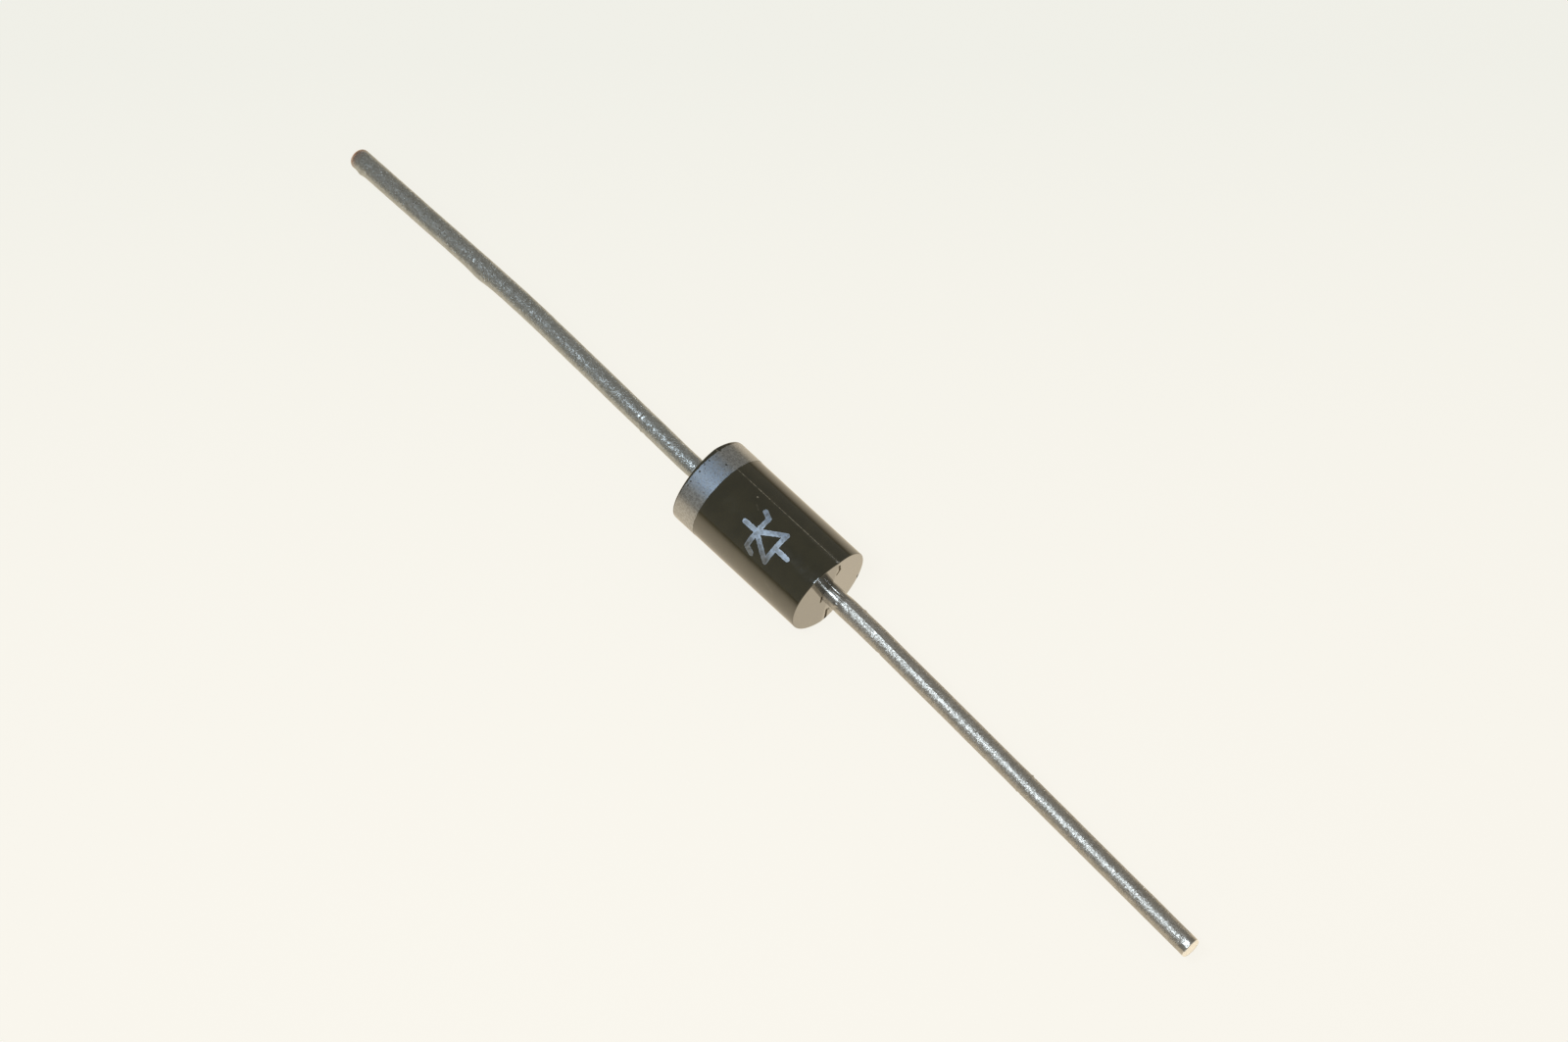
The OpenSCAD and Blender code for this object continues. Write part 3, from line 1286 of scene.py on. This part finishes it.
@dataclass
class Lead:
    """One tinned lead, from its nail head in the body to its cut tip.

    Roughness lists layers of bumps as (pitch, points round, height), and smooth runs are stretches
    along the wire as (start, end, fade).
    """

    name: str
    node: str
    ahead: Point
    bends: tuple[Bend, ...]
    tip: LeadTip
    stack: ChipStack
    face: float
    seed: int
    cut_reach: float
    finish: TinnedWire = field(default_factory=TinnedWire)
    marks: tuple[WireMark, ...] = ()
    smooth_runs: tuple[Run, ...] = ()
    tin: float = 0.02
    neck: float = 0.7
    neck_taper: float = 0.006
    neck_tin: float = 0.4
    tin_ramp: float = 0.3
    rough_ramp: float = 0.5
    roughness: tuple[tuple[float, int, float], ...] = ((1.3, 5, 0.007), (0.22, 14, 0.003), (0.1, 34, 0.0025))
    length: float = 26.0
    tip_round: float = 0.3
    shear_slant: float = 3.0
    shear_side: float = 191.5
    shear_run: float = 1.0
    shear_rows: tuple[Pair, ...] = (
        (0.05, 0.995),
        (0.015, 0.97),
        (0.0, 0.93),
        (0.004, 0.7),
        (0.006, 0.4),
        (0.006, 0.05),
    )
    dome_leans: tuple[float, float, int] = (10.0, 88.0, 9)
    dome_shares: tuple[float, ...] = (0.3, 0.15, 0.03)
    head_middle: float = 0.05
    course_steps: int = 6000
    inner_run: float = 0.3
    turn_step: float = 5.0
    close_turns: Pair | None = None
    close_step: float = 1.0
    row_step: float = 0.055

    @property
    def end(self) -> float:
        """Distance of the tip from the middle of the body, along the wire."""
        return self.face + self.length

    def turns(self) -> Array:
        """Spaces points round the wire, closer together where a fine line runs."""
        even = np.arange(0.0, 360.0, self.turn_step)
        if self.close_turns is None:
            return even
        close = np.arange(*self.close_turns, self.close_step)
        return np.unique(np.round(np.mod(np.concatenate([even, close]), 360.0), 3))

    def course(self, along: Array) -> tuple[Array, Array]:
        """Follows the middle of the wire through its bends.

        Args:
            along: Distances along the wire.

        Returns:
            Points on the middle of the wire, and the wire's headings as unit vectors.
        """
        fine = np.linspace(0.0, self.end + 1.0, self.course_steps + 1)
        heading = np.tile(np.array(self.ahead), (len(fine), 1))
        for bend in self.bends:
            lean = bend.angle * np.clip((fine - bend.start) / (bend.end - bend.start), 0.0, 1.0)
            heading = heading + round_the_axis(0.0, np.tan(np.radians(lean)), bend.side)
        heading = heading / np.linalg.norm(heading, axis=-1, keepdims=True)
        middle = np.concatenate([np.zeros((1, 3)), np.cumsum(heading[:-1], axis=0) * (fine[1] - fine[0])])
        points = np.stack([np.interp(along, fine, column) for column in middle.T], axis=-1)
        towards = np.stack([np.interp(along, fine, column) for column in heading.T], axis=-1)
        return points, towards / np.linalg.norm(towards, axis=-1, keepdims=True)

    def place(self, along: Array, reach: Array, turn: Array) -> Array:
        """Places points about the middle of the wire.

        Args:
            along: Distances along the wire.
            reach: Distances from its middle.
            turn: Angles about it, in degrees, as about the body.

        Returns:
            Points.
        """
        middle, heading = self.course(along)
        ahead = np.array(self.ahead)
        spoke = round_the_axis(0.0, 1.0, turn)
        tilt = np.sum(spoke * heading, axis=-1, keepdims=True) / (1.0 + heading @ ahead)[..., None]
        return middle + reach[..., None] * (spoke - tilt * (ahead + heading))

    def wire(self, along: Array) -> Array:
        """Gives the wire's radius, from the nail head to the full tin.

        Args:
            along: Distances along the wire.

        Returns:
            Radii.
        """
        edge = self.face + self.neck
        necked = self.neck_taper * np.clip((along - self.face) / self.neck, 0.0, 1.0)
        tinned = smooth(edge, edge + self.tin_ramp, along)
        rise = (1.0 - self.neck_tin) * self.tin + self.neck_taper
        return self.stack.wire_radius + self.neck_tin * self.tin - necked + rise * tinned

    def skin(self, along: Array, turn: Array) -> Array:
        """Gives the wire's radius with its uneven tin and its marks.

        Args:
            along: Distances along the wire.
            turn: Angles about it, in degrees.

        Returns:
            Radii.
        """
        edge = self.face + self.neck
        layers = [Unevenness(self.seed + number, *layer) for number, layer in enumerate(self.roughness)]
        rough = sum(layer.at(along, turn) for layer in layers)
        radius = self.wire(along) + smooth(edge, edge + self.rough_ramp, along) * rough
        for mark in self.marks:
            radius = radius + mark.height_at(along, turn)
        return radius

    def tip_rows(self) -> Sequence[Pair]:
        """Lists the closing rings as (distance back from the tip, share of the radius)."""
        if self.tip is LeadTip.SHEARED:
            return self.shear_rows
        leans = np.radians(np.linspace(*self.dome_leans))
        full = self.stack.wire_radius + self.tin
        core = full - self.tip_round
        backs = [self.tip_round * (1 - math.sin(lean)) for lean in leans]
        shares = [(core + self.tip_round * math.cos(lean)) / full for lean in leans]
        return [*zip(backs, shares), *((0.0, share) for share in self.dome_shares)]

    def build(self) -> Piece:
        """Makes the lead's mesh, closed at the head and the tip."""
        turn = self.turns()
        columns = len(turn)
        stack = self.stack
        head = [
            (stack.head_face, self.head_middle),
            (stack.head_face, 0.5 * stack.head_radius),
            (stack.head_face, stack.head_radius),
            (stack.head_back, stack.head_radius),
            (stack.head_back, stack.taper_radius),
            (stack.taper_end, stack.wire_radius),
            (0.5 * (stack.taper_end + self.face), stack.wire_radius),
        ]
        rings = [(np.full_like(turn, s), np.full_like(turn, r)) for s, r in head]
        closing = self.tip_rows()
        last = self.end - closing[0][0] - self.row_step
        for along in np.linspace(self.face - self.inner_run, last, int(self.length / self.row_step)):
            places = np.full_like(turn, along)
            rings.append((self.sheared(places, turn), self.skin(places, turn)))
        for back, share in closing:
            places = np.full_like(turn, self.end - back)
            slant = share * (self.sheared(places, turn) - places)
            rings.append((places + slant, share * self.skin(places, turn)))
        points = np.concatenate([self.place(places, reach, turn) for places, reach in rings])
        faces = ring_faces(len(rings), columns)
        faces.append(tuple(range(columns)))
        faces.append(tuple(range(len(points) - columns, len(points))))
        piece = make_piece(self.name, points, faces)
        unbent = np.concatenate([round_the_axis(places, reach, turn) for places, reach in rings]) * MM
        carried = piece.data.attributes.new("unbent", "FLOAT_VECTOR", "POINT")
        carried.data.foreach_set("vector", unbent.ravel())
        return piece

    def sheared(self, along: Array, turn: Array) -> Array:
        """Leans the rings near a sheared tip with its slant.

        Args:
            along: Distances along the wire.
            turn: Angles about it, in degrees.

        Returns:
            The distances, longer on the side that the cut leans to.
        """
        if self.tip is not LeadTip.SHEARED:
            return along
        slope = math.tan(math.radians(self.shear_slant))
        lean = self.stack.wire_radius * np.cos(np.radians(turn - self.shear_side)) * slope
        return along + lean * smooth(self.end - self.shear_run, self.end, along)

    def dress(self, piece: Piece) -> None:
        """Gives the lead its tin and hands it over.

        Args:
            piece: The lead's mesh.
        """
        cut = (self.end, 0.0, 0.0)
        tin = self.finish.material(self.name + "_tin", cut, self.cut_reach, self.smooth_runs)
        piece.data.materials.append(tin)
        hand_over(piece, "tinned_wire", self.node)


@dataclass(frozen=True)
class Lamp:
    """A soft rectangular lamp above the part, seen in gloss but not by the camera."""

    name: str
    place: Point
    aim: Point
    size: Pair
    power: float
    colour: Colour

    def hang(self) -> None:
        """Puts the lamp in the scene, pointing at its aim."""
        light = bpy.data.lights.new(self.name, "AREA")
        light.shape = "RECTANGLE"
        light.size, light.size_y = (length * MM for length in self.size)
        light.energy = self.power
        light.color = self.colour
        lamp = add_object(self.name, light)
        away = (Vector(self.place) - Vector(self.aim)).normalized()
        turned = away.to_track_quat("Z", "Y").to_matrix().to_4x4()
        lamp.matrix_world = Matrix.Translation(Vector(self.place) * MM) @ turned
        lamp.visible_camera = False


@dataclass
class Studio:
    """Pale lit floor with a painted pool of light in its gloss, a dim room round it, three lamps and the
    camera.
    """

    floor_height: float
    floor_half: float = 2000.0
    front: Colour = (0.934, 0.912, 0.848)
    back: Colour = (0.861, 0.865, 0.811)
    span: float = 29.0
    depth_curve: float = 2.6
    mirrored: Colour = (1.0, 0.86, 0.65)
    painted_pool_line: float = 1.0
    painted_pool_reach: float = 20.0
    far_share: float = 0.12
    matt_share: float = 0.8
    shadow_share: float = 0.05
    zenith: Colour = (0.125, 0.127, 0.125)
    horizon: Colour = (0.225, 0.216, 0.186)
    horizon_fade: float = 0.4
    fill: Colour = (0.92, 0.76, 0.52)
    azimuth: float = 45.958
    elevation: float = 62.998
    distance: float = 510.4
    across: float = 0.8068
    upward: float = 0.7179
    lens: float = 233.25
    sensor: float = 36.0
    clip_start: float = 5.0
    lamps: tuple[Lamp, ...] = (
        Lamp("overhead_lamp", (2.0, -33.0, 80.0), (16.0, 0.0, -1.0), (26.0, 24.0), 0.038, (0.78, 0.90, 1.0)),
        Lamp("end_lamp", (42.0, -39.0, 75.0), (4.8, 0.0, 0.0), (10.0, 9.0), 0.0065, (0.8, 0.9, 1.0)),
        Lamp("side_lamp", (-12.0, 58.0, 52.0), (10.0, 0.0, 0.0), (16.0, 6.0), 0.0005, (1.0, 1.0, 1.0)),
    )

    def floor(self) -> None:
        """Lays the floor under the part."""
        half = self.floor_half
        sides = ((-half, -half), (half, -half), (half, half), (-half, half))
        corners = np.array([(x, y, self.floor_height) for x, y in sides])
        mesh = bpy.data.meshes.new("floor")
        mesh.from_pydata((corners * MM).tolist(), [], [(0, 1, 2, 3)])
        mesh.materials.append(self.floor_finish())
        add_object("floor", mesh)

    def floor_finish(self) -> Material:
        """Makes a pale floor that keeps the shadow; in gloss it glows warm, with a painted pool of light that
        fades with distance from a line along the part.
        """
        recipe = Recipe("pale_floor")
        turn = math.radians(self.azimuth)
        rearward = (-math.sin(turn) / (2 * self.span * MM), math.cos(turn) / (2 * self.span * MM), 0.0)
        depth = recipe.math("ADD", recipe.measure("DOT_PRODUCT", recipe.place, rearward), 0.5)
        depth = recipe.math("POWER", recipe.math("MAXIMUM", depth, 0.0), self.depth_curve)
        pale = recipe.blend(depth, self.front, self.back)
        # Painted pool of light: the floor's glow in gloss is brightest along a line through the part and
        # fades from it to a far share.
        aside = recipe.math("SUBTRACT", recipe.part(recipe.place, "Y"), self.painted_pool_line * MM)
        aside = recipe.math("DIVIDE", aside, self.painted_pool_reach * MM)
        fading = recipe.math("ADD", recipe.math("MULTIPLY", aside, aside), 1.0)
        bright = recipe.math("ADD", recipe.math("DIVIDE", 1.0 - self.far_share, fading), self.far_share)
        colours = [tuple(c * share for c in self.front) for share in (self.matt_share, self.shadow_share)]
        matt, shaded = (recipe.surface("BsdfDiffuse", colour) for colour in colours)
        glow = recipe.surface("Emission", pale, 1.0 - self.shadow_share)
        lit = recipe.surface("AddShader", shaded, glow)
        painted_pool_glow = recipe.surface("Emission", self.mirrored, bright)
        ray = recipe.node("LightPath").outputs
        seen = recipe.surface("MixShader", ray["Is Camera Ray"], matt, lit)
        in_gloss = recipe.math("MAXIMUM", ray["Is Glossy Ray"], ray["Is Transmission Ray"])
        recipe.feed(recipe.output.inputs["Surface"], recipe.surface("MixShader", in_gloss, seen, painted_pool_glow))
        recipe.tree.nodes.remove(recipe.shader)
        return recipe.material

    def surroundings(self) -> None:
        """Sets a world that fills softly, shows pale to the camera and mirrors as a dim room."""
        world = bpy.data.worlds.new("studio")
        bpy.context.scene.world = world
        world.use_nodes = True
        kit = NodeKit(world.node_tree)
        height = kit.part(kit.node("TexCoord").outputs["Generated"], "Z")
        walls = kit.blend(kit.math("POWER", height, self.horizon_fade), self.horizon, self.zenith)
        fill, room, pale = (kit.surface("Background", colour) for colour in (self.fill, walls, self.back))
        ray = kit.node("LightPath").outputs
        unseen = kit.surface("MixShader", ray["Is Glossy Ray"], fill, room)
        kit.node("OutputWorld", kit.surface("MixShader", ray["Is Camera Ray"], unseen, pale))

    def camera(self) -> None:
        """Sets the camera where the photograph was taken from."""
        turn, rise = math.radians(self.azimuth), math.radians(self.elevation)
        back = Vector((math.sin(turn) * math.cos(rise), -math.cos(turn) * math.cos(rise), math.sin(rise)))
        right = Vector((math.cos(turn), math.sin(turn), 0.0))
        up = back.cross(right)
        data = bpy.data.cameras.new("camera")
        data.sensor_fit = "HORIZONTAL"
        data.sensor_width = self.sensor
        data.lens = self.lens
        data.clip_start = self.clip_start * MM
        camera = add_object("camera", data)
        place = (back * self.distance + right * self.across + up * self.upward) * MM
        axes = Matrix((right, up, back)).transposed()
        camera.matrix_world = Matrix.Translation(place) @ axes.to_4x4()
        bpy.context.scene.camera = camera

    def build(self) -> None:
        """Sets up the whole studio."""
        self.camera()
        self.floor()
        self.surroundings()
        for lamp in self.lamps:
            lamp.hang()
        bpy.context.scene.view_settings.view_transform = "Standard"


def make_leads(stack: ChipStack, face: float) -> list[Lead]:
    """Describes both leads.

    Args:
        stack: Sizes of the heads inside.
        face: Distance of the body's end faces from its middle.

    Returns:
        The anode lead and the cathode lead.
    """
    root_end = face + 1.25
    anode = Lead(
        name="anode_wire",
        node="anode_lead",
        ahead=(1.0, 0.0, 0.0),
        bends=(Bend(face - 0.15, 9.0, 2.6, 160.5), Bend(root_end, 75.0, 2.13, 235.8)),
        tip=LeadTip.SHEARED,
        stack=stack,
        face=face,
        seed=41,
        cut_reach=0.06,
        finish=TinnedWire(cut=(0.93, 0.94, 0.95), cut_cover=0.9, flat_cut=True),
        smooth_runs=((face - 0.5, face + 1.0, 0.4), (face + 25.6, face + 27.0, 0.2)),
        close_turns=(-60.0, 22.0),
        marks=(
            WireMark(face + 0.3, 9.0, 0.38, 4.2, -0.03, abrupt=6.0),
            WireMark(face + 0.76, -49.0, 0.085, 10.0, 0.045),
            WireMark(face + 0.9, -58.0, 0.06, 8.0, -0.025),
            WireMark(face + 25.75, -27.0, 0.3, 21.0, -0.034, abrupt=4.0),
            WireMark(face + 25.75, 13.0, 0.3, 15.0, 0.03, abrupt=4.0),
            WireMark(8.6, -6.0, 4.2, 5.0, 0.013, abrupt=12.0, drift=-1.4),
            WireMark(18.57, 70.0, 0.035, 14.0, 0.05),
            WireMark(18.75, 72.0, 0.03, 10.0, -0.03),
            WireMark(18.5, -110.0, 0.03, 14.0, 0.045),
            WireMark(18.66, -112.0, 0.03, 12.0, -0.035),
            WireMark(6.5, 68.0, 0.07, 16.0, 0.035),
            WireMark(8.5, -108.0, 0.08, 16.0, -0.035),
        ),
    )
    first = Bend(root_end, 40.0, 1.25, 90.0)
    cathode = Lead(
        name="cathode_wire",
        node="cathode_lead",
        ahead=(-1.0, 0.0, 0.0),
        bends=(first, Bend(first.end + 9.0, 110.0, 2.5, -90.0)),
        tip=LeadTip.ROUNDED,
        stack=stack,
        face=face,
        seed=51,
        cut_reach=0.85,
        finish=TinnedWire(
            tin=(0.465, 0.49, 0.495), dull=(0.385, 0.405, 0.405), cut=(0.40, 0.16, 0.08), frost=0.34
        ),
        length=25.93,
        tip_round=0.38,
        smooth_runs=((face - 0.5, face + 0.5, 0.2),),
        marks=(
            WireMark(9.05, -20.0, 0.035, 22.0, 0.035),
            WireMark(9.16, -14.0, 0.05, 16.0, -0.02),
            WireMark(9.0, -80.0, 0.04, 10.0, -0.04),
            WireMark(8.75, -100.0, 0.05, 16.0, 0.035),
            WireMark(8.55, -104.0, 0.04, 14.0, -0.03),
            WireMark(20.9, -105.0, 0.7, 30.0, 0.07),
            WireMark(29.5, -107.0, 0.18, 20.0, 0.05),
        ),
    )
    return [anode, cathode]


def main() -> None:
    """Loads the frame and builds the diode's looks round it."""
    logging.basicConfig(level=logging.INFO, format="%(name)s %(message)s")
    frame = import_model()
    low, high = (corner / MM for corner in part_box("body"))
    band_low, band_high = (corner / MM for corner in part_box("cathode_band"))
    Studio(floor_height=min(low.z, band_low.z)).build()
    stack = ChipStack()
    moulding = Moulding(radius=high.y, half_length=high.x, stack=stack)
    moulding.dress(moulding.build())
    band = PolarityBand(moulding, band_low.x, band_high.x).layer()
    band.dress(band.build(), "cathode_band")
    sign = DiodeSign(moulding).layer()
    sign.dress(sign.build(), None)
    for lead in make_leads(stack, moulding.half_length):
        lead.dress(lead.build())
    stack.dress(frame["nodes"])


if __name__ == "__main__":
    main()
